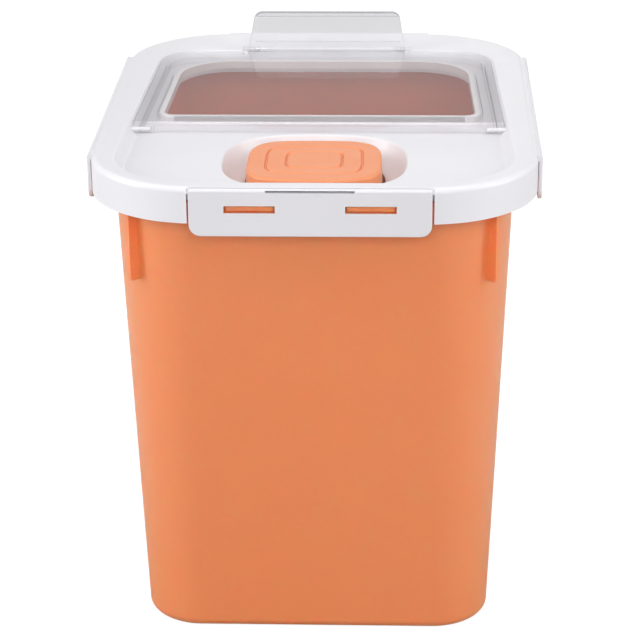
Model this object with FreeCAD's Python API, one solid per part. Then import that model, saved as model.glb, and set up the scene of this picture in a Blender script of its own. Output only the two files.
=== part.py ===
"""Rice storage container: a tapered tub, a latched lid with a clear flip cover, and a measuring cup.

Millimetres. +Z is up, the front faces -Y, and the origin is the middle of the base.
"""
import FreeCAD
import Part
import math
import os
from collections import namedtuple

from FreeCAD import Vector

# Tub
TUB_HEIGHT = 257.5
TUB_INSET = 12.85
TUB_DRAFT_DEG = 2.29
TUB_TOP_CORNER_R = 42.0
TUB_BASE_CORNER_R = 31.0
TUB_WALL = 2.2
TUB_FLOOR = 2.6
TUB_BASE_ROUND = 5.0
FOOT_RING_WIDTH = 16.0
FOOT_RING_HEIGHT = 1.0
RIM_THICKNESS = 2.2
RIM_LIP_HEIGHT = 7.7
RIM_LIP_WALL = 2.0
FIN_DEPTH = 4.6
FIN_THICKNESS = 2.6
FIN_LENGTH = 50.5
FIN_END_ROUND = 2.0
LUG_LENGTH = 24.0
LUG_HEIGHT = 2.5
LUG_DROP = 2.5
LUG_REACH = 0.3

# Lid
LID_WIDTH = 236.0
LID_DEPTH = 296.0
LID_CORNER_R = 60.0
LID_EDGE_ROUND = 3.0
SKIRT_HEIGHT = 19.2
SKIRT_WALL = 2.0
BORDER_THICKNESS = 2.2
SIDE_BORDER = 11.5
RECESS_LEAN_DEG = 1.7
FRONT_BORDER = 9.0
BACK_BORDER = 38.5
CUP_BAY_DEPTH = 94.3
RECESS_DEPTH = 6.0
RECESS_SLOPE_RUN = 4.7
RECESS_WALL = 2.0
RECESS_EDGE_ROUND = 1.5
RECESS_FOOT_ROUND = 2.0
DECK_THICKNESS = 2.2
DECK_FRONT_R = 41.0
DECK_REAR_R = 23.0

# Lid seal, in a channel over the tub's rim
SEAL_HEIGHT = 4.0
SEAL_WIDTH = 3.5
SEAL_INSET = 5.0
CHANNEL_RIB = 1.4
CHANNEL_RIB_DROP = 2.8

# Latches, flaps that hang from the lid's edge
LATCH_THICKNESS = 2.0
LATCH_HEIGHT = 25.4
FRONT_LATCH_LENGTH = 123.4
SIDE_LATCH_END = 54.0
LATCH_CORNER_R = 6.0
LATCH_EDGE_ROUND = 0.5
LATCH_BEAD_R = 1.6
LATCH_AXIS_DROP = 1.7
LATCH_SIDE_GAP = 1.1
SLOT_LENGTH = 26.0
SLOT_PLAY = 0.75
FRONT_SLOT_CENTRE = 30.8
SIDE_SLOT_END = 36.0
RELIEF_DEPTH = 1.0
RELIEF_PLAY = 0.5
SLIT_HEIGHT = 1.25
SLIT_DROP = 0.4
SLIT_DEPTH = 3.5
FRONT_SLIT_LENGTH = 45.2
SIDE_SLIT_LENGTH = 40.0
SIDE_SLIT_CENTRE = 40.0

# Flip cover
COVER_OVERHANG = 2.9
COVER_PLATE = 2.5
COVER_PROUD = 1.0
COVER_REAR_R = 22.0
COVER_FRONT_R = 2.5
COVER_EDGE_ROUND = 0.7
COVER_WALL = 1.6
COVER_WALL_INSET = 3.6
COVER_FRONT_INSET = 2.5
KNUCKLE_R = 2.0
KNUCKLE_LENGTH = 8.0
HINGE_PIN_R = 1.2
HINGE_PIN_IN_COVER = 6.0
HINGE_PIN_IN_LID = 3.2
HINGE_POCKET_GAP = 0.8
HINGE_POCKET_FRONT = 6.0
HINGE_POCKET_BACK = 5.0
HINGE_BOSS_WALL = 4.5
COVER_SEAL_WIDTH = 2.6
COVER_SEAL_OVERHANG = 1.0
SEAL_RIB_WIDTH = 1.8
SEAL_RIB_HEIGHT = 3.2

# Scoop opening, measured in from the flip cover's edges
OPENING_SIDE_MARGIN = 13.4
OPENING_FRONT_MARGIN = 20.5
OPENING_BACK_MARGIN = 14.0
OPENING_FRONT_R = 7.0
OPENING_REAR_R = 31.0

# Clip at the back of the flip cover
CLIP_WIDTH = 94.0
CLIP_TIP_WIDTH = 87.0
CLIP_LENGTH = 23.0
CLIP_THICKNESS = 2.2
CLIP_CORNER_R = 5.0
CLIP_BARREL_R = 1.9
CLIP_LEAN_DEG = 30.0
CLIP_CLEAR_OF_BORDER = 0.4
HOOK_REACH = 2.2
HOOK_WIDTH = 2.2
EAR_THICKNESS = 3.0
EAR_R = 2.1
CLIP_PIN_R = 1.0
CLIP_PIN_IN_CLIP = 6.0
CATCH_PLAY = 0.7
CATCH_WALL = 1.8

# Measuring cup, stored upside down in its nest
CUP_WIDTH = 71.0
CUP_DEPTH = 67.0
CUP_HEIGHT = 50.0
CUP_WALL = 1.6
CUP_FLARE = 1.3
CUP_SETBACK = 58.1
CUP_BELOW_BORDER = 4.0
CUP_EDGE_ROUND = 1.6
CUP_POWER = 3.7
CUP_GROOVE_WIDTH = 1.7
CUP_GROOVE_FLOOR = 0.7
CUP_GROOVE_DEPTH = 0.9
CUP_BASE = 2.8
CUP_RING_WIDTHS = (52.4, 31.2)
CUP_RING_DEPTHS = (46.4, 29.0)
CUP_RING_POWER = 5.0
NEST_GAP = 0.8
NEST_WALL = 1.8
BOWL_WIDTH = 97.4
BOWL_DEPTH = 89.6
BOWL_DROP = 13.0
BOWL_SETBACK = 62.6
BOWL_POWER = 2.7
BOWL_EDGE_ROUND = 1.2

# Clearances
RIM_GAP = 0.3
SEAT_GAP = 0.3
HINGE_GAP = 0.15
RUNNING_GAP = 0.05
END_GAP = 0.4

# Levels and places that follow from the sizes
DECK_Z = TUB_HEIGHT + RIM_GAP + DECK_THICKNESS
LID_TOP = DECK_Z + RECESS_DEPTH
SKIRT_Z = LID_TOP - SKIRT_HEIGHT
COVER_TOP = LID_TOP + COVER_PROUD
COVER_UNDER = COVER_TOP - COVER_PLATE
COVER_FOOT = DECK_Z + SEAT_GAP
DECK_FRONT = LID_DEPTH / 2 - FRONT_BORDER - RECESS_SLOPE_RUN
DECK_BACK = LID_DEPTH / 2 - BACK_BORDER - RECESS_SLOPE_RUN
COVER_FRONT = DECK_FRONT - CUP_BAY_DEPTH
COVER_BACK = DECK_BACK - HINGE_POCKET_GAP
HINGE_Y = KNUCKLE_R - COVER_FRONT
HINGE_Z = COVER_FOOT + KNUCKLE_R
CLIP_Y = COVER_BACK + CLIP_BARREL_R + END_GAP
CLIP_Z = LID_TOP + CLIP_CLEAR_OF_BORDER + CLIP_THICKNESS / 2
SIDE_LATCH_LENGTH = LID_DEPTH - 2 * SIDE_LATCH_END
SIDE_SLOT_CENTRE = SIDE_LATCH_LENGTH / 2 - SIDE_SLOT_END
LATCH_AXIS_Z = LID_TOP - LATCH_AXIS_DROP
LATCH_AXIS_OUT = LATCH_THICKNESS - LATCH_BEAD_R
LUG_Z = TUB_HEIGHT - LUG_DROP
CUP_CENTRE = LID_DEPTH / 2 - CUP_SETBACK
BOWL_CENTRE = LID_DEPTH / 2 - BOWL_SETBACK
CUP_TOP = LID_TOP - CUP_BELOW_BORDER
CUP_RIM_Z = CUP_TOP - CUP_HEIGHT
NEST_TOP = DECK_Z - BOWL_DROP
SLOPE = RECESS_SLOPE_RUN / RECESS_DEPTH
SLOPE_WALL_ACROSS = RECESS_WALL * math.hypot(1.0, SLOPE)
NEAR = 1e-4

# A rounded rectangle seen from above, left like right. Its sides lean in towards the back by an angle,
# and half_width is that of the front edge with square corners.
Plan = namedtuple("Plan", "half_width front back front_r rear_r lean", defaults=(0.0,))

# One latched edge of the lid: its turn from the front, the skirt face's distance from the middle, the latch's
# length, how far its two slots are from its middle, and the middles of its slits
Edge = namedtuple("Edge", "name turn reach length slots slits")

LID_PLAN = Plan(LID_WIDTH / 2, -LID_DEPTH / 2, LID_DEPTH / 2, LID_CORNER_R, LID_CORNER_R)
EDGES = (
    Edge("front_latch", 0, LID_DEPTH / 2, FRONT_LATCH_LENGTH, FRONT_SLOT_CENTRE, (0.0,)),
    Edge("right_latch", 90, LID_WIDTH / 2, SIDE_LATCH_LENGTH, SIDE_SLOT_CENTRE,
         (-SIDE_SLIT_CENTRE, SIDE_SLIT_CENTRE)),
    Edge("back_latch", 180, LID_DEPTH / 2, FRONT_LATCH_LENGTH, FRONT_SLOT_CENTRE, (0.0,)),
    Edge("left_latch", 270, LID_WIDTH / 2, SIDE_LATCH_LENGTH, SIDE_SLOT_CENTRE,
         (-SIDE_SLIT_CENTRE, SIDE_SLIT_CENTRE)),
)


def grow(plan, by):
    """The plan moved outwards by a distance, or inwards by a negative one."""
    lean = math.radians(plan.lean)
    wider = by / math.cos(lean) + by * math.tan(lean)
    return plan._replace(half_width=plan.half_width + wider, front=plan.front - by, back=plan.back + by,
                         front_r=plan.front_r + by, rear_r=plan.rear_r + by)


def half_at(plan, y):
    """The half width at a place along Y, away from the corners."""
    return plan.half_width - (y - plan.front) * math.tan(math.radians(plan.lean))


def plan_corners(plan):
    """Centre, radius and start and end angles of the right-hand corners."""
    lean = math.radians(plan.lean)
    corners = []
    for y, r, start, end in ((plan.front + plan.front_r, plan.front_r, -math.pi / 2, lean),
                             (plan.back - plan.rear_r, plan.rear_r, lean, math.pi / 2)):
        corners.append((half_at(plan, y) - r / math.cos(lean), y, r, start, end))
    return corners


def plan_wire(plan, z):
    """Four sides and four corner arcs at height z."""
    right = plan_corners(plan)
    left = [(-x, y, r, math.pi - end, math.pi - start) for x, y, r, start, end in reversed(right)]
    arcs = []
    for x, y, r, start, end in right + left:
        turns = (start, (start + end) / 2, end)
        points = [Vector(x + r * math.cos(t), y + r * math.sin(t), z) for t in turns]
        arcs.append(Part.Arc(*points).toShape())
    edges = []
    for arc, following in zip(arcs, arcs[1:] + arcs[:1]):
        side = Part.makeLine(arc.Vertexes[-1].Point, following.Vertexes[0].Point)
        edges += [arc, side]
    return Part.Wire(edges)


def prism(plan, low, high):
    """The plan extruded from one height to another."""
    return Part.Face(plan_wire(plan, low)).extrude(Vector(0, 0, high - low))


def frustum(low_plan, low, high_plan, high):
    """A straight-sided solid between two plans."""
    return Part.makeLoft([plan_wire(low_plan, low), plan_wire(high_plan, high)], True, True)


def ring(outer, inner, low, high):
    """A wall between two plans."""
    return prism(outer, low, high).cut(prism(inner, low, high))


def oval_wire(width, depth, centre, power, z):
    """A squared oval: |x|^p + |y|^p = 1, scaled to the width and depth."""
    steps = 48
    points = []
    for k in range(steps):
        turn = 2 * math.pi * k / steps
        c, s = math.cos(turn), math.sin(turn)
        x = math.copysign(abs(c) ** (2 / power), c) * width / 2
        y = math.copysign(abs(s) ** (2 / power), s) * depth / 2
        points.append(Vector(x, y - centre, z))
    curve = Part.BSplineCurve()
    curve.interpolate(Points=points, PeriodicFlag=True)
    return Part.Wire([curve.toShape()])


def oval_prism(width, depth, centre, power, low, high):
    """A squared oval extruded from one height to another."""
    return Part.Face(oval_wire(width, depth, centre, power, low)).extrude(Vector(0, 0, high - low))


def block(x0, x1, y0, y1, z0, z1):
    """A box between two corners."""
    return Part.makeBox(x1 - x0, y1 - y0, z1 - z0, Vector(x0, y0, z0))


def rod(radius, x0, x1, y, z):
    """A cylinder along X."""
    return Part.makeCylinder(radius, x1 - x0, Vector(x0, y, z), Vector(1, 0, 0))


def at_edge(shape, edge):
    """Turn a shape made for the front edge to another edge of the lid."""
    return shape.rotated(Vector(0, 0, 0), Vector(0, 0, 1), edge.turn)


def level_edges(shape, z):
    """The edges that lie flat at a height."""
    return [e for e in shape.Edges if abs(e.BoundBox.ZMin - z) < NEAR and abs(e.BoundBox.ZMax - z) < NEAR]


def whole(shape):
    """The shape as one clean solid."""
    clean = shape.removeSplitter()
    if len(clean.Solids) != 1:
        raise ValueError("expected one solid, found %d" % len(clean.Solids))
    return clean.Solids[0]


def tub_plan(z):
    """The tub's outside at a height: it narrows towards the base by the draft."""
    taper = (TUB_HEIGHT - z) * math.tan(math.radians(TUB_DRAFT_DEG))
    corner_r = TUB_BASE_CORNER_R + (TUB_TOP_CORNER_R - TUB_BASE_CORNER_R) * z / TUB_HEIGHT
    return grow(LID_PLAN, -TUB_INSET - taper)._replace(front_r=corner_r, rear_r=corner_r)


def rim_plan():
    """The outside of the rim's lip, just inside the lid's skirt."""
    return grow(LID_PLAN, -SKIRT_WALL - RIM_GAP - END_GAP)


def corner_fin(side_x, side_y):
    """A stacking fin that stands out of one corner, along its diagonal."""
    top = TUB_HEIGHT - RIM_THICKNESS / 2
    bottom = TUB_HEIGHT - FIN_LENGTH
    plan = tub_plan(TUB_HEIGHT)
    narrowing = plan.half_width - tub_plan(bottom).half_width
    inner = plan.rear_r - math.sqrt(2) * narrowing - TUB_WALL / 2
    outer = plan.rear_r + FIN_DEPTH
    half = FIN_THICKNESS / 2
    fin = block(inner, outer, -half, half, bottom, top)
    end = [e for e in level_edges(fin, bottom) if abs(e.BoundBox.XMin - outer) < NEAR]
    fin = fin.makeFillet(FIN_END_ROUND, end)
    turn = math.degrees(math.atan2(side_y, side_x))
    fin.rotate(Vector(0, 0, 0), Vector(0, 0, 1), turn)
    fin.translate(Vector(side_x * (plan.half_width - plan.rear_r), side_y * (plan.back - plan.rear_r), 0))
    return fin


def catch_lugs(edge):
    """The two lugs on the rim that reach into one latch's slots."""
    lugs = []
    root = edge.reach - (SKIRT_WALL + RIM_GAP + END_GAP) - RIM_LIP_WALL / 2
    for centre in (-edge.slots, edge.slots):
        lug = block(centre - LUG_LENGTH / 2, centre + LUG_LENGTH / 2, -edge.reach - LUG_REACH, -root,
                    LUG_Z - LUG_HEIGHT / 2, LUG_Z + LUG_HEIGHT / 2)
        nose = [e for e in lug.Edges if abs(e.BoundBox.YMax + edge.reach + LUG_REACH) < NEAR
                and e.BoundBox.XLength > LUG_LENGTH / 2]
        lugs.append(at_edge(lug.makeChamfer(LUG_REACH / 2, nose), edge))
    return lugs


def make_tub():
    """The bucket with its rim, lugs and fins."""
    outside = frustum(tub_plan(0), 0, tub_plan(TUB_HEIGHT), TUB_HEIGHT)
    outside = outside.makeFillet(TUB_BASE_ROUND, level_edges(outside, 0))
    rim = prism(rim_plan(), TUB_HEIGHT - RIM_THICKNESS, TUB_HEIGHT)
    lip = ring(rim_plan(), grow(rim_plan(), -RIM_LIP_WALL), TUB_HEIGHT - RIM_LIP_HEIGHT, TUB_HEIGHT)
    extras = [rim, lip]
    for edge in EDGES:
        extras += catch_lugs(edge)
    for side_x in (-1, 1):
        extras += [corner_fin(side_x, side_y) for side_y in (-1, 1)]
    solid = outside.fuse(extras)
    low_plan, high_plan = [grow(tub_plan(z), -TUB_WALL) for z in (TUB_FLOOR, TUB_HEIGHT)]
    inside = frustum(low_plan, TUB_FLOOR, high_plan, TUB_HEIGHT)
    inside = inside.makeFillet(TUB_BASE_ROUND - TUB_WALL, level_edges(inside, TUB_FLOOR))
    hollow = prism(grow(tub_plan(0), -FOOT_RING_WIDTH), 0, FOOT_RING_HEIGHT)
    return whole(solid.cut([inside, hollow]))


def deck_plan():
    """The sunk deck's floor."""
    half_width = LID_PLAN.half_width - SIDE_BORDER - RECESS_SLOPE_RUN
    return Plan(half_width, -DECK_FRONT, DECK_BACK, DECK_FRONT_R, DECK_REAR_R, RECESS_LEAN_DEG)


def slope_plan(z):
    """The recess's sloping side at a height above the deck."""
    return grow(deck_plan(), (z - DECK_Z) * SLOPE)


def cover_plan():
    """The flip cover's plate."""
    half_width = half_at(deck_plan(), -COVER_FRONT) + COVER_OVERHANG
    return Plan(half_width, -COVER_FRONT, COVER_BACK, COVER_FRONT_R, COVER_REAR_R, RECESS_LEAN_DEG)


def opening_plan():
    """The scoop opening in the deck."""
    plan = cover_plan()
    front = plan.front + OPENING_FRONT_MARGIN
    return Plan(half_at(plan, front) - OPENING_SIDE_MARGIN, front, plan.back - OPENING_BACK_MARGIN,
                OPENING_FRONT_R, OPENING_REAR_R, RECESS_LEAN_DEG)


def cup_size(z):
    """The cup's outside width and depth at a height: it widens down to its rim."""
    flare = 2 * CUP_FLARE * (CUP_TOP - z) / CUP_HEIGHT
    return CUP_WIDTH + flare, CUP_DEPTH + flare


def nest_size(extra):
    """The nest's inside, which the cup's rim has to pass, plus a wall."""
    width, depth = cup_size(CUP_RIM_Z)
    return width + 2 * (NEST_GAP + extra), depth + 2 * (NEST_GAP + extra)


def nest(extra, floor):
    """The finger bowl and the nest below it, as one solid: the space, or with a wall the outside."""
    width, depth = nest_size(extra)
    bowl_width, bowl_depth = BOWL_WIDTH + 2 * extra, BOWL_DEPTH + 2 * extra
    share = 0.4
    middle = DECK_Z - share * BOWL_DROP
    keep = 1 - share ** 2
    levels = (
        (width, depth, CUP_CENTRE, CUP_POWER, NEST_TOP),
        (width + (bowl_width - width) * keep, depth + (bowl_depth - depth) * keep,
         CUP_CENTRE + (BOWL_CENTRE - CUP_CENTRE) * keep, BOWL_POWER, middle),
        (bowl_width, bowl_depth, BOWL_CENTRE, BOWL_POWER, DECK_Z),
    )
    bowl = Part.makeLoft([oval_wire(*level) for level in levels], True, False)
    well = oval_prism(width, depth, CUP_CENTRE, CUP_POWER, floor, NEST_TOP)
    return bowl.fuse(well)


def latch_notch(edge):
    """The gap in the skirt behind one latch."""
    half = edge.length / 2 + LATCH_SIDE_GAP
    top = LATCH_AXIS_Z - LATCH_BEAD_R - HINGE_GAP
    inner = edge.reach - SKIRT_WALL - RIM_GAP
    return at_edge(block(-half, half, -edge.reach - END_GAP, -inner, SKIRT_Z - END_GAP, top), edge)


def hinge_land(edge):
    """The square lid edge that meets one latch's bead."""
    half = edge.length / 2
    low = LATCH_AXIS_Z - LATCH_BEAD_R - HINGE_GAP
    inner = edge.reach - LID_EDGE_ROUND - SKIRT_WALL
    return at_edge(block(-half, half, -edge.reach, -inner, low, LID_TOP - HINGE_GAP), edge)


def hinge_groove(edge):
    """The round groove that one latch's bead turns in, and the slits behind it."""
    half = edge.length / 2 + LATCH_SIDE_GAP
    axis = -edge.reach - LATCH_AXIS_OUT
    groove = rod(LATCH_BEAD_R + HINGE_GAP, -half, half, axis, LATCH_AXIS_Z)
    return [at_edge(cut, edge) for cut in [groove] + slits(edge, SLIT_DEPTH)]


def slits(edge, depth):
    """The gaps between the strips of one latch's hinge."""
    length = FRONT_SLIT_LENGTH if len(edge.slits) == 1 else SIDE_SLIT_LENGTH
    front = -edge.reach - LATCH_THICKNESS - END_GAP
    low = LATCH_AXIS_Z - SLIT_DROP
    return [block(c - length / 2, c + length / 2, front, -edge.reach + depth, low, low + SLIT_HEIGHT)
            for c in edge.slits]


def hinge_pin_span():
    """Where the flip cover's right-hand pin starts and ends along X."""
    return cover_wall_face() - HINGE_PIN_IN_COVER, pocket_wall() + HINGE_PIN_IN_LID


def cover_wall_face():
    """The outer face of the flip cover's side wall at its hinge."""
    return half_at(cover_plan(), HINGE_Y) - COVER_WALL_INSET


def pocket_wall():
    """The upright wall beside the flip cover's hinge."""
    return half_at(cover_plan(), HINGE_Y) + HINGE_POCKET_GAP


def hinge_bosses():
    """Blocks under the border that hold the flip cover's pins."""
    x0, x1 = half_at(deck_plan(), HINGE_Y) - RECESS_WALL, pocket_wall() + HINGE_BOSS_WALL
    front, back = HINGE_Y - HINGE_POCKET_FRONT - RECESS_WALL, HINGE_Y + HINGE_POCKET_BACK + RECESS_WALL
    low = DECK_Z - DECK_THICKNESS
    right = block(x0, x1, front, back, low, LID_TOP - BORDER_THICKNESS / 2)
    return [right, right.mirror(Vector(0, 0, 0), Vector(1, 0, 0))]


def hinge_pockets():
    """Room beside the flip cover's hinge for the plate's corners, with the holes for the pins."""
    x0 = cover_wall_face() - COVER_WALL
    front, back = HINGE_Y - HINGE_POCKET_FRONT, HINGE_Y + HINGE_POCKET_BACK
    pocket = block(x0, pocket_wall(), front, back, DECK_Z, LID_TOP + END_GAP)
    hole = rod(HINGE_PIN_R, x0, hinge_pin_span()[1], HINGE_Y, HINGE_Z)
    right = pocket.fuse(hole)
    return [right, right.mirror(Vector(0, 0, 0), Vector(1, 0, 0))]


def catch_span():
    """Front and back of the pocket that the clip's hook drops into."""
    return CLIP_Y + CLIP_LENGTH - HOOK_WIDTH - CATCH_PLAY, CLIP_Y + CLIP_LENGTH + CATCH_PLAY


def catch_floor():
    """The bottom of that pocket, just below the hook."""
    return CLIP_Z - CLIP_THICKNESS / 2 - HOOK_REACH - SEAT_GAP


def catch_boss():
    """The block under the border round the catch pocket."""
    front, back = catch_span()
    half = CLIP_TIP_WIDTH / 2 + CATCH_PLAY + CATCH_WALL
    return block(-half, half, front - CATCH_WALL, back + CATCH_WALL, catch_floor() - CATCH_WALL,
                 LID_TOP - BORDER_THICKNESS / 2)


def catch_pocket():
    """The pocket itself."""
    front, back = catch_span()
    half = CLIP_TIP_WIDTH / 2 + CATCH_PLAY
    return block(-half, half, front, back, catch_floor(), LID_TOP + END_GAP)


def seal_ceiling():
    """The top of the lid seal, where its channel ends."""
    return TUB_HEIGHT + SEAL_HEIGHT


def lid_shell():
    """The skirt and the flat border, before the deck is sunk into it."""
    shell = prism(LID_PLAN, SKIRT_Z, LID_TOP)
    shell = shell.makeFillet(LID_EDGE_ROUND, level_edges(shell, LID_TOP))
    return shell.cut(prism(grow(LID_PLAN, -SKIRT_WALL), SKIRT_Z, LID_TOP - BORDER_THICKNESS))


def lid_under_parts():
    """What hangs under the border: the deck's pan, the seal's channel, the nest and the bosses."""
    under = DECK_Z - DECK_THICKNESS
    top = LID_TOP - BORDER_THICKNESS / 2
    low_plan, high_plan = [grow(slope_plan(z), SLOPE_WALL_ACROSS) for z in (under, top)]
    pan = frustum(low_plan, under, high_plan, top)
    channel_outside = grow(LID_PLAN, CHANNEL_RIB - SEAL_INSET)
    channel_inside = grow(LID_PLAN, -SEAL_INSET - SEAL_WIDTH - CHANNEL_RIB)
    channel = ring(channel_outside, channel_inside, seal_ceiling() - CHANNEL_RIB_DROP, top)
    return [pan, channel, nest(NEST_WALL, CUP_RIM_Z - NEST_WALL), catch_boss()] + hinge_bosses()


def sink_deck(solid):
    """Cut the recess with its bowl and nest, and round the edges that are seen."""
    above = LID_TOP + END_GAP
    recess = frustum(deck_plan(), DECK_Z, slope_plan(above), above)
    recess = recess.makeFillet(RECESS_FOOT_ROUND, level_edges(recess, DECK_Z))
    solid = solid.cut(recess)
    reach = slope_plan(LID_TOP).half_width + NEAR
    edges = [e for e in level_edges(solid, LID_TOP) if max(e.BoundBox.XMax, -e.BoundBox.XMin) < reach]
    solid = solid.makeFillet(RECESS_EDGE_ROUND, edges)
    solid = solid.cut(nest(0.0, CUP_RIM_Z))
    rim = [e for e in level_edges(solid, DECK_Z) if abs(e.BoundBox.XLength - BOWL_WIDTH) < 1.0]
    return solid.makeFillet(BOWL_EDGE_ROUND, rim)


def make_lid():
    """The white lid: skirt, border, sunk deck, scoop opening, finger bowl and nest."""
    solid = lid_shell().fuse(lid_under_parts() + [hinge_land(edge) for edge in EDGES])
    solid = sink_deck(whole(solid))
    seal = grow(LID_PLAN, -SEAL_INSET)
    groove = ring(seal, grow(seal, -SEAL_WIDTH), TUB_HEIGHT, seal_ceiling())
    opening = prism(opening_plan(), DECK_Z - DECK_THICKNESS, LID_TOP)
    cuts = [groove, opening, catch_pocket()] + hinge_pockets()
    for edge in EDGES:
        cuts += [latch_notch(edge)] + hinge_groove(edge)
    return whole(solid.cut(cuts))


def make_lid_seal():
    """The silicone ring in the lid's channel, resting on the tub's rim."""
    outside = grow(LID_PLAN, -SEAL_INSET)
    return ring(outside, grow(outside, -SEAL_WIDTH), TUB_HEIGHT, seal_ceiling())


def make_latch(edge):
    """One flap: a bead that turns in the lid's edge, a plate, its slots and the slits in its hinge."""
    half = edge.length / 2
    low = LID_TOP - LATCH_HEIGHT
    outer, inner = -edge.reach - LATCH_THICKNESS, -edge.reach
    plate = block(-half, half, outer, inner, low, LATCH_AXIS_Z)
    lower = [e for e in level_edges(plate, low) if e.BoundBox.YLength > LATCH_THICKNESS / 2]
    plate = plate.makeFillet(LATCH_CORNER_R, lower)
    boxes = [(e, e.BoundBox) for e in plate.Edges]
    face = [e for e, box in boxes if box.YMax < outer + NEAR and box.ZMin < LATCH_AXIS_Z - NEAR]
    plate = plate.makeFillet(LATCH_EDGE_ROUND, face)
    bead = rod(LATCH_BEAD_R, -half, half, inner - LATCH_AXIS_OUT, LATCH_AXIS_Z)
    solid = plate.fuse(bead)
    slot_half = LUG_HEIGHT / 2 + SLOT_PLAY
    cuts = slits(edge, SLIT_DEPTH)
    for centre in (-edge.slots, edge.slots):
        reach = SLOT_LENGTH / 2
        cuts.append(block(centre - reach, centre + reach, outer - END_GAP, inner + END_GAP,
                          LUG_Z - slot_half, LUG_Z + slot_half))
        cuts.append(block(centre - reach - RELIEF_PLAY, centre + reach + RELIEF_PLAY, inner - RELIEF_DEPTH,
                          inner + END_GAP, low - END_GAP, LUG_Z))
    return at_edge(whole(solid.cut(cuts)), edge)


def cover_seal_plan():
    """The outside of the seal under the flip cover, which overhangs the scoop opening a little."""
    return grow(opening_plan(), COVER_SEAL_WIDTH - COVER_SEAL_OVERHANG)


def clip_ears():
    """The two ears at the back of the flip cover that hold the clip's pins."""
    x0 = CLIP_WIDTH / 2 + END_GAP
    ears = []
    for start in (x0, -x0 - EAR_THICKNESS):
        eye = rod(EAR_R, start, start + EAR_THICKNESS, CLIP_Y, CLIP_Z)
        arm = block(start, start + EAR_THICKNESS, COVER_BACK - COVER_WALL_INSET, CLIP_Y, COVER_UNDER,
                    CLIP_Z + EAR_R / 2)
        ears += [eye, arm]
    return ears


def rod_pair(radius, span, y, z):
    """A left and a right rod along X, for a pair of pins or their holes."""
    right = rod(radius, span[0], span[1], y, z)
    return [right.mirror(Vector(0, 0, 0), Vector(1, 0, 0)), right]


def clip_pin_span():
    """Where the clip's right-hand pin starts and ends along X."""
    end = CLIP_WIDTH / 2
    return end - CLIP_PIN_IN_CLIP, end + END_GAP + EAR_THICKNESS


def cover_wall_plan():
    """The outside of the flip cover's walls."""
    plan = grow(cover_plan(), -COVER_WALL_INSET)
    front = cover_plan().front + COVER_FRONT_INSET
    return plan._replace(half_width=half_at(plan, front), front=front, front_r=COVER_FRONT_R)


def hinge_knuckles():
    """The two solid ends of the flip cover's front wall that turn on its pins."""
    end = cover_wall_face()
    knuckles = []
    for start in (end - KNUCKLE_LENGTH, -end):
        eye = rod(KNUCKLE_R, start, start + KNUCKLE_LENGTH, HINGE_Y, HINGE_Z)
        arm = block(start, start + KNUCKLE_LENGTH, -COVER_FRONT, HINGE_Y + KNUCKLE_R, HINGE_Z, COVER_UNDER)
        knuckles += [eye, arm]
    return knuckles


def make_flip_cover():
    """The clear cover: plate, walls, hinge knuckles, seal rib and the ears for the clip."""
    plate = prism(cover_plan(), COVER_UNDER, COVER_TOP)
    plate = plate.makeFillet(COVER_EDGE_ROUND, level_edges(plate, COVER_TOP))
    wall_outside = cover_wall_plan()
    wall_inside = grow(wall_outside, -COVER_WALL)._replace(front_r=COVER_FRONT_R)
    skirt = ring(wall_outside, wall_inside, COVER_FOOT, COVER_UNDER)
    seal = cover_seal_plan()
    rib = ring(grow(seal, SEAL_RIB_WIDTH), seal, COVER_UNDER - SEAL_RIB_HEIGHT, COVER_UNDER)
    solid = plate.fuse([skirt, rib] + hinge_knuckles() + clip_ears())
    bore_span = (hinge_pin_span()[0] - END_GAP, cover_wall_face() + END_GAP)
    bores = rod_pair(HINGE_PIN_R + RUNNING_GAP, bore_span, HINGE_Y, HINGE_Z)
    bores += rod_pair(CLIP_PIN_R, clip_pin_span(), CLIP_Y, CLIP_Z)
    return whole(solid.cut(bores))


def make_cover_seal():
    """The silicone ring inside the seal rib, which rests on the deck round the scoop opening."""
    seal = cover_seal_plan()
    return ring(seal, grow(seal, -COVER_SEAL_WIDTH), DECK_Z, COVER_UNDER - RUNNING_GAP)


def make_clip():
    """The clear clip, made lying closed along +Y and then raised to where it stands."""
    half, tip_half = CLIP_WIDTH / 2, CLIP_TIP_WIDTH / 2
    low = CLIP_Z - CLIP_THICKNESS / 2
    foot = low - HOOK_REACH
    tip = CLIP_Y + CLIP_LENGTH
    outline = ((-half, CLIP_Y), (half, CLIP_Y), (tip_half, tip), (-tip_half, tip), (-half, CLIP_Y))
    face = Part.Face(Part.makePolygon([Vector(x, y, foot) for x, y in outline]))
    flap = face.extrude(Vector(0, 0, CLIP_THICKNESS + HOOK_REACH))
    upright = [e for e in flap.Edges if e.BoundBox.YMin > tip - NEAR and e.BoundBox.ZLength > CLIP_THICKNESS]
    flap = flap.makeFillet(CLIP_CORNER_R, upright)
    flap = flap.cut(block(-half, half, CLIP_Y - END_GAP, tip - HOOK_WIDTH, foot - END_GAP, low))
    solid = flap.fuse(rod(CLIP_BARREL_R, -half, half, CLIP_Y, CLIP_Z))
    span = clip_pin_span()
    bores = rod_pair(CLIP_PIN_R + RUNNING_GAP, (span[0] - END_GAP, half + END_GAP), CLIP_Y, CLIP_Z)
    solid = whole(solid.cut(bores))
    solid.rotate(Vector(0, CLIP_Y, CLIP_Z), Vector(1, 0, 0), 90 - CLIP_LEAN_DEG)
    return solid


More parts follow.
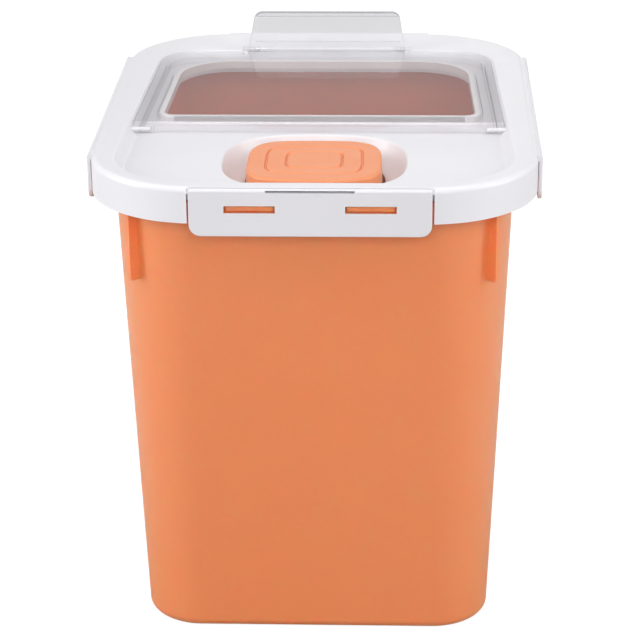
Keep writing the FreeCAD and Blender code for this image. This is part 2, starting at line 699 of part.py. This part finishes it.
def base_groove(width, depth):
    """One ring-shaped groove in the cup's base, narrower at its floor."""
    floor = CUP_TOP - CUP_GROOVE_DEPTH
    slant = (CUP_GROOVE_WIDTH - CUP_GROOVE_FLOOR) / 2
    sides = []
    for across, lean in ((0.0, slant), (CUP_GROOVE_WIDTH, -slant)):
        narrower = (2 * (across + lean), 2 * across)
        ends = [oval_wire(width - n, depth - n, CUP_CENTRE, CUP_RING_POWER, z)
                for n, z in zip(narrower, (floor, CUP_TOP))]
        sides.append(Part.makeLoft(ends, True, True))
    return sides[0].cut(sides[1])


def make_cup():
    """The measuring cup, base up, with two grooves in its base."""
    ends = [oval_wire(*cup_size(z), CUP_CENTRE, CUP_POWER, z) for z in (CUP_RIM_Z, CUP_TOP)]
    outside = Part.makeLoft(ends, True, True)
    outside = outside.makeFillet(CUP_EDGE_ROUND, level_edges(outside, CUP_TOP))
    inside_top = CUP_TOP - CUP_BASE
    levels = []
    for z in (CUP_RIM_Z, inside_top):
        width, depth = cup_size(z)
        levels.append(oval_wire(width - 2 * CUP_WALL, depth - 2 * CUP_WALL, CUP_CENTRE, CUP_POWER, z))
    inside = Part.makeLoft(levels, True, True)
    inside = inside.makeFillet(CUP_EDGE_ROUND, level_edges(inside, inside_top))
    solid = outside.cut(inside)
    for width, depth in zip(CUP_RING_WIDTHS, CUP_RING_DEPTHS):
        solid = solid.cut(base_groove(width, depth))
    return whole(solid)


def make_parts():
    """Every piece by name."""
    parts = {
        "tub": make_tub(),
        "lid": make_lid(),
        "lid_seal": make_lid_seal(),
        "flip_cover": make_flip_cover(),
        "cover_seal": make_cover_seal(),
        "cover_clip": make_clip(),
        "measuring_cup": make_cup(),
    }
    for edge in EDGES:
        parts[edge.name] = make_latch(edge)
    pins = (("cover_hinge_pin", HINGE_PIN_R, hinge_pin_span(), HINGE_Y, HINGE_Z),
            ("clip_hinge_pin", CLIP_PIN_R, clip_pin_span(), CLIP_Y, CLIP_Z))
    for name, radius, span, y, z in pins:
        left, right = rod_pair(radius, span, y, z)
        parts[name + "_left"] = left
        parts[name + "_right"] = right
    return parts


os.makedirs("parts", exist_ok=True)
for part_name, part_shape in make_parts().items():
    if not part_shape.isValid():
        raise ValueError(part_name + " is not a valid shape")
    part_shape.exportStep("parts/%s.step" % part_name)
    print("%-24s %10.1f mm3" % (part_name, part_shape.Volume))
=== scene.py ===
"""Looks of the rice storage container: plastics, light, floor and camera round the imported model."""
import math

import bpy
from mathutils import Matrix, Vector

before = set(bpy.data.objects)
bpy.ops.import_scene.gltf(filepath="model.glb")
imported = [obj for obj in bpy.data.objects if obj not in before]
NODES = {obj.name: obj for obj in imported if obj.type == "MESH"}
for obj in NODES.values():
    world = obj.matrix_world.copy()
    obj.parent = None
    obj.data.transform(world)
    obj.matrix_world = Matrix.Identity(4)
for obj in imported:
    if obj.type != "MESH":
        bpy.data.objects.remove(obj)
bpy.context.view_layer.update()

# Camera, from a fit to the photograph's outlines
CAMERA_AT = (0.04842, -1.25554, 0.64742)
CAMERA_PITCH = math.radians(22.23)
CAMERA_YAW = math.radians(-2.27)
CAMERA_ROLL = math.radians(-0.5)
CAMERA_LENS = 130.76
CAMERA_SENSOR = 36.0

# Colours, linear
ORANGE = (0.985, 0.296, 0.098)
ORANGE_PALE = (0.992, 0.308, 0.107)
ORANGE_CUP = (0.855, 0.303, 0.132)
ORANGE_CUP_PALE = (0.870, 0.318, 0.142)
WHITE = (0.790, 0.784, 0.824)
WHITE_WARM = (0.812, 0.803, 0.832)
WHITE_LATCH = (0.768, 0.752, 0.776)
COVER_TINT = (0.992, 0.985, 0.988)
CLIP_TINT = (0.975, 0.975, 0.982)
# Painted shade: the grey that clear plastic turns where it is seen edge-on
EDGE_PAINTED_SHADE = (0.520, 0.510, 0.545)
HAZE = (0.850, 0.850, 0.870)
SILICONE = (0.940, 0.915, 0.930)
LAMP_WHITE = (1.0, 1.0, 1.0, 1.0)

# The middle part of a noise, which is spread over a wanted range
NOISE_LOW = 0.3
NOISE_HIGH = 0.7

# Moulded plastic; patches are in waves per metre
PLASTIC_IOR = 1.49
PLASTIC_PATCHES = 9.0
GLOSS_PATCHES = 60.0
GLOSS_DRIFT = 0.05
GRAIN_DEPTH = 0.0001
WHITE_ROUGH = 0.34
FINE_GRAIN = 0.0005

# The tub's wall: how far red, green and blue soak in, and its sheen
SOAK_SHARES = (1.0, 0.22, 0.08)
SOAK_DEPTH = 0.0024
TUB_SPECULAR = 0.8

# Clear plastic: the sheen is that of both faces, and an edge turns grey over a span of facing, a painted
# shade in place of the darker refraction in its walls
CLEAR_IOR = 1.5
CLEAR_PATCHES = 14.0
CLEAR_DRIFT = 0.012
CLEAR_GLOSS_PATCHES = 45.0
CLEAR_GLOSS_DRIFT = 0.04
SHEEN = 1.65
EDGE_SPAN = 0.17

# Silicone
SILICONE_IOR = 1.41
SILICONE_PATCHES = 30.0
SILICONE_DARKER = 0.94
SILICONE_GLOSS_PATCHES = 220.0
SILICONE_ROUGH = (0.5, 0.62)

# Floor: its glow shows to the camera, less through clear plastic, which is a painted shade, and its sides
# glow in reflections only, a painted reflection
FLOOR_SIZE = 12.0
FLOOR_GREY = 0.32
FLOOR_GLOW = 0.83
# Painted shade: the glow the floor loses where it is seen through clear plastic
FLOOR_SHADE_THROUGH_PLASTIC = 0.40
# Painted reflection: the floor's glow that only reflections see, growing to either side
FLOOR_PAINTED_REFLECTION = 0.9
SIDES_PER_METRE = 3.0

# Surround
WHITE_BACKGROUND = 1.0
GREY_CEILING = 0.58
CEILING_STARTS = 0.2
WORLD_LIGHT = 0.36

# Lamps: place, aim, width, height and power
MIDDLE = (0.0, 0.0, 0.16)
LID_BACK = (0.0, 0.1, 0.26)
LAMPS = {
    "top_box": ((0.0, -0.15, 1.7), MIDDLE, 1.3, 1.3, 7.2),
    "front_box": ((0.1, -1.75, 0.92), MIDDLE, 1.3, 0.8, 15.2),
    "left_box": ((-1.35, -0.35, 0.7), MIDDLE, 0.6, 1.2, 11.0),
    "right_box": ((1.35, -0.35, 0.7), MIDDLE, 0.6, 1.2, 8.3),
    "back_strip": ((0.0, 1.5, 0.56), LID_BACK, 0.45, 0.18, 0.55),
}


class Nodes:
    """A material's node tree with short calls to add and link nodes."""

    def __init__(self, name):
        self.material = bpy.data.materials.new(name)
        self.start(self.material, "ShaderNodeOutputMaterial")

    def start(self, owner, output):
        """An empty tree with its output node."""
        owner.use_nodes = True
        self.tree = owner.node_tree
        self.tree.nodes.clear()
        self.output = self.add(output)

    def add(self, kind, inputs=None, **settings):
        """A node with its settings and the values of its inputs."""
        node = self.tree.nodes.new(kind)
        for key, value in settings.items():
            setattr(node, key, value)
        for key, value in (inputs or {}).items():
            node.inputs[key].default_value = value
        return node

    def link(self, start, end):
        """A link from an output to an input."""
        self.tree.links.new(start, end)

    def show(self, shader):
        """The shader that the surface shows."""
        self.link(shader, self.output.inputs["Surface"])

    def noise(self, scale, detail=3.0, roughness=0.5):
        """A noise in the piece's own coordinates, in metres."""
        place = self.add("ShaderNodeTexCoord")
        noise = self.add("ShaderNodeTexNoise", {"Scale": scale, "Detail": detail, "Roughness": roughness})
        self.link(place.outputs["Object"], noise.inputs["Vector"])
        return noise.outputs["Fac"]

    def remap(self, value, start, end, low, high):
        """A value between start and end as a number between low and high."""
        span = self.add("ShaderNodeMapRange",
                        {"From Min": start, "From Max": end, "To Min": low, "To Max": high})
        self.link(value, span.inputs["Value"])
        return span.outputs["Result"]

    def spread(self, noise, low, high):
        """A noise as a number between low and high."""
        return self.remap(noise, NOISE_LOW, NOISE_HIGH, low, high)

    def blend(self, factor, first, second):
        """One colour to another by a factor."""
        mix = self.add("ShaderNodeMix", {"A": (*first, 1.0), "B": (*second, 1.0)}, data_type="RGBA")
        self.link(factor, mix.inputs["Factor"])
        return mix.outputs["Result"]

    def mix_shaders(self, factor, first, second):
        """One shader to another by a factor, a socket or a number."""
        mix = self.add("ShaderNodeMixShader")
        if isinstance(factor, float):
            mix.inputs["Fac"].default_value = factor
        else:
            self.link(factor, mix.inputs["Fac"])
        self.link(first, mix.inputs[1])
        self.link(second, mix.inputs[2])
        return mix.outputs["Shader"]

    def calculate(self, operation, *values):
        """A calculation on sockets or numbers, its result kept between 0 and 1."""
        node = self.add("ShaderNodeMath", operation=operation, use_clamp=True)
        for value, socket in zip(values, node.inputs):
            if isinstance(value, float):
                socket.default_value = value
            else:
                self.link(value, socket)
        return node.outputs["Value"]

    def bump(self, height, strength, distance):
        """A bump from a height."""
        bump = self.add("ShaderNodeBump", {"Strength": strength, "Distance": distance})
        self.link(height, bump.inputs["Height"])
        return bump.outputs["Normal"]


class WorldNodes(Nodes):
    """The same calls on the world's tree."""

    def __init__(self):
        world = bpy.data.worlds.new("studio")
        bpy.context.scene.world = world
        self.start(world, "ShaderNodeOutputWorld")


def moulded_plastic(name, colour, other, rough, grain_size, grain):
    """Moulded polypropylene: faint colour drift, uneven gloss and a fine grain."""
    nodes = Nodes(name)
    shader = nodes.add("ShaderNodeBsdfPrincipled", {"IOR": PLASTIC_IOR})
    drift = nodes.spread(nodes.noise(PLASTIC_PATCHES, detail=2.0), 0.0, 1.0)
    nodes.link(nodes.blend(drift, colour, other), shader.inputs["Base Color"])
    patches = nodes.noise(GLOSS_PATCHES, detail=4.0, roughness=0.6)
    nodes.link(nodes.spread(patches, rough - GLOSS_DRIFT, rough + GLOSS_DRIFT), shader.inputs["Roughness"])
    height = nodes.noise(1.0 / grain_size, detail=2.0)
    nodes.link(nodes.bump(height, grain, GRAIN_DEPTH), shader.inputs["Normal"])
    nodes.show(shader.outputs["BSDF"])
    return nodes.material


def let_light_in(material):
    """Light that soaks through a thin coloured wall, red furthest, under a stronger sheen."""
    shader = next(node for node in material.node_tree.nodes if node.type == "BSDF_PRINCIPLED")
    shader.inputs["Subsurface Weight"].default_value = 1.0
    shader.inputs["Subsurface Radius"].default_value = SOAK_SHARES
    shader.inputs["Subsurface Scale"].default_value = SOAK_DEPTH
    shader.inputs["Specular IOR Level"].default_value = TUB_SPECULAR
    return material


def clear_plastic(name, tint, rough, haze, edge_starts):
    """Thin clear plastic, seen straight through: a sheen at flat angles, a little haze, and edges greyed by
    painted shade in place of the darker refraction in its walls.
    """
    nodes = Nodes(name)
    through = nodes.add("ShaderNodeBsdfTransparent")
    drift = nodes.spread(nodes.noise(CLEAR_PATCHES, detail=2.0), 0.0, 1.0)
    paler = tuple(min(1.0, part + CLEAR_DRIFT) for part in tint)
    nodes.link(nodes.blend(drift, tint, paler), through.inputs["Color"])
    # Painted shade: the plastic is drawn greyer where it is seen edge-on, in place of the darker refraction
    # in its walls
    edge = nodes.add("ShaderNodeBsdfTransparent", {"Color": (*EDGE_PAINTED_SHADE, 1.0)})
    facing = nodes.add("ShaderNodeLayerWeight").outputs["Facing"]
    grazing = nodes.remap(facing, edge_starts, edge_starts + EDGE_SPAN, 0.0, 1.0)
    body = nodes.mix_shaders(grazing, through.outputs["BSDF"], edge.outputs["BSDF"])
    milk = nodes.add("ShaderNodeBsdfDiffuse", {"Color": (*HAZE, 1.0)})
    body = nodes.mix_shaders(haze, body, milk.outputs["BSDF"])
    sheen = nodes.add("ShaderNodeBsdfAnisotropic")
    patches = nodes.noise(CLEAR_GLOSS_PATCHES, detail=5.0, roughness=0.65)
    nodes.link(nodes.spread(patches, rough, rough + CLEAR_GLOSS_DRIFT), sheen.inputs["Roughness"])
    one_face = nodes.add("ShaderNodeFresnel", {"IOR": CLEAR_IOR}).outputs["Fac"]
    both_faces = nodes.calculate("MULTIPLY", one_face, SHEEN)
    inside = nodes.add("ShaderNodeNewGeometry").outputs["Backfacing"]
    share = nodes.calculate("SUBTRACT", both_faces, inside)
    nodes.show(nodes.mix_shaders(share, body, sheen.outputs["BSDF"]))
    return nodes.material


def silicone(name):
    """Milky silicone for the seals."""
    nodes = Nodes(name)
    shader = nodes.add("ShaderNodeBsdfPrincipled", {"IOR": SILICONE_IOR})
    drift = nodes.spread(nodes.noise(SILICONE_PATCHES), 0.0, 1.0)
    darker = tuple(SILICONE_DARKER * part for part in SILICONE)
    nodes.link(nodes.blend(drift, SILICONE, darker), shader.inputs["Base Color"])
    patches = nodes.noise(SILICONE_GLOSS_PATCHES)
    nodes.link(nodes.spread(patches, *SILICONE_ROUGH), shader.inputs["Roughness"])
    nodes.show(shader.outputs["BSDF"])
    return nodes.material


def paint(material, *names):
    """Give CAD nodes a material."""
    for name in names:
        mesh = NODES[name].data
        mesh.materials.clear()
        mesh.materials.append(material)


def paint_all():
    """Give every CAD node its plastic."""
    tub = moulded_plastic("orange_pp", ORANGE, ORANGE_PALE, rough=0.46, grain_size=0.0006, grain=0.12)
    paint(let_light_in(tub), "tub")
    cup = moulded_plastic("orange_pp_cup", ORANGE_CUP, ORANGE_CUP_PALE,
                          rough=0.42, grain_size=FINE_GRAIN, grain=0.08)
    paint(cup, "measuring_cup")
    paint(moulded_plastic("white_pp", WHITE, WHITE_WARM, WHITE_ROUGH, FINE_GRAIN, grain=0.06), "lid")
    paint(moulded_plastic("white_pp_latch", WHITE_LATCH, WHITE, WHITE_ROUGH, FINE_GRAIN, grain=0.06),
          "front_latch", "back_latch", "left_latch", "right_latch")
    paint(clear_plastic("clear_cover", COVER_TINT, rough=0.02, haze=0.01, edge_starts=0.78), "flip_cover")
    paint(clear_plastic("clear_clip", CLIP_TINT, rough=0.04, haze=0.18, edge_starts=0.55),
          "cover_clip", "clip_hinge_pin_left", "clip_hinge_pin_right")
    paint(silicone("silicone"), "lid_seal", "cover_seal")
    paint(moulded_plastic("white_pin", WHITE, WHITE_WARM, WHITE_ROUGH, FINE_GRAIN, grain=0.04),
          "cover_hinge_pin_left", "cover_hinge_pin_right")


def add_floor():
    """A plain pale floor that shows white, or light grey through clear plastic by painted shade, and keeps
    the shadow; its sides glow in reflections only, a painted reflection.
    """
    bpy.ops.mesh.primitive_plane_add(size=FLOOR_SIZE, location=(0, 0, 0))
    floor = bpy.context.object
    floor.name = "floor"
    nodes = Nodes("floor_white")
    matt = nodes.add("ShaderNodeBsdfDiffuse", {"Color": (FLOOR_GREY, FLOOR_GREY, FLOOR_GREY, 1.0)})
    glow = nodes.add("ShaderNodeEmission", {"Color": LAMP_WHITE})
    path = nodes.add("ShaderNodeLightPath")
    # Painted shade: less glow where the floor is seen through clear plastic
    painted_shade = nodes.calculate("MULTIPLY", path.outputs["Transparent Depth"], FLOOR_SHADE_THROUGH_PLASTIC)
    painted_shade = nodes.calculate("MINIMUM", painted_shade, FLOOR_SHADE_THROUGH_PLASTIC)
    seen = nodes.calculate("SUBTRACT", FLOOR_GLOW, painted_shade)
    seen = nodes.calculate("MULTIPLY", seen, path.outputs["Is Camera Ray"])
    place = nodes.add("ShaderNodeTexCoord")
    across = nodes.add("ShaderNodeSeparateXYZ")
    nodes.link(place.outputs["Object"], across.inputs["Vector"])
    # Painted reflection: the floor glows for reflections only, more the further out to either side, putting
    # a sheen on the tub's corners
    aside = nodes.calculate("ABSOLUTE", across.outputs["X"])
    seen_in_reflections = nodes.calculate("MULTIPLY", aside, SIDES_PER_METRE)
    seen_in_reflections = nodes.calculate("MULTIPLY", seen_in_reflections, FLOOR_PAINTED_REFLECTION)
    seen_in_reflections = nodes.calculate("MULTIPLY", seen_in_reflections, path.outputs["Is Glossy Ray"])
    nodes.link(nodes.calculate("ADD", seen, seen_in_reflections), glow.inputs["Strength"])
    both = nodes.add("ShaderNodeAddShader")
    nodes.link(matt.outputs["BSDF"], both.inputs[0])
    nodes.link(glow.outputs["Emission"], both.inputs[1])
    nodes.show(both.outputs["Shader"])
    floor.data.materials.append(nodes.material)


def add_world():
    """An even white surround, with a grey ceiling that only reflections show."""
    nodes = WorldNodes()
    light, seen, seen_in_reflections = [
        nodes.add("ShaderNodeBackground", {"Color": LAMP_WHITE, "Strength": strength})
        for strength in (WORLD_LIGHT, WHITE_BACKGROUND, WHITE_BACKGROUND)
    ]
    place = nodes.add("ShaderNodeTexCoord")
    height = nodes.add("ShaderNodeSeparateXYZ")
    nodes.link(place.outputs["Generated"], height.inputs["Vector"])
    ceiling = nodes.remap(height.outputs["Z"], 0.0, CEILING_STARTS, WHITE_BACKGROUND, GREY_CEILING)
    nodes.link(ceiling, seen_in_reflections.inputs["Strength"])
    path = nodes.add("ShaderNodeLightPath")
    light, seen, seen_in_reflections = [background.outputs["Background"] for background in (light, seen, seen_in_reflections)]
    shown = nodes.mix_shaders(path.outputs["Is Camera Ray"], light, seen)
    nodes.show(nodes.mix_shaders(path.outputs["Is Glossy Ray"], shown, seen_in_reflections))


def add_lamp(name, at, to, width, height, power):
    """A softbox at a place, aimed at a point."""
    lamp = bpy.data.lights.new(name, "AREA")
    lamp.shape = "RECTANGLE"
    lamp.size = width
    lamp.size_y = height
    lamp.energy = power
    obj = bpy.data.objects.new(name, lamp)
    bpy.context.scene.collection.objects.link(obj)
    obj.location = at
    obj.rotation_euler = (Vector(to) - Vector(at)).to_track_quat("-Z", "Y").to_euler()


def add_camera():
    """The photograph's viewpoint."""
    cos, sin = math.cos, math.sin
    flat = cos(CAMERA_PITCH)
    forward = Vector((sin(CAMERA_YAW) * flat, cos(CAMERA_YAW) * flat, -sin(CAMERA_PITCH)))
    level = Vector((cos(CAMERA_YAW), -sin(CAMERA_YAW), 0.0))
    upward = level.cross(forward)
    right = level * cos(CAMERA_ROLL) + upward * sin(CAMERA_ROLL)
    up = upward * cos(CAMERA_ROLL) - level * sin(CAMERA_ROLL)
    data = bpy.data.cameras.new("camera")
    data.lens = CAMERA_LENS
    data.sensor_width = CAMERA_SENSOR
    data.sensor_fit = "HORIZONTAL"
    camera = bpy.data.objects.new("camera", data)
    bpy.context.scene.collection.objects.link(camera)
    turn = Matrix((right, up, -forward)).transposed().to_4x4()
    camera.matrix_world = Matrix.Translation(CAMERA_AT) @ turn
    bpy.context.scene.camera = camera


paint_all()
add_floor()
add_world()
for lamp_name, lamp in LAMPS.items():
    add_lamp(lamp_name, *lamp)
add_camera()
bpy.context.scene.view_settings.view_transform = "Standard"
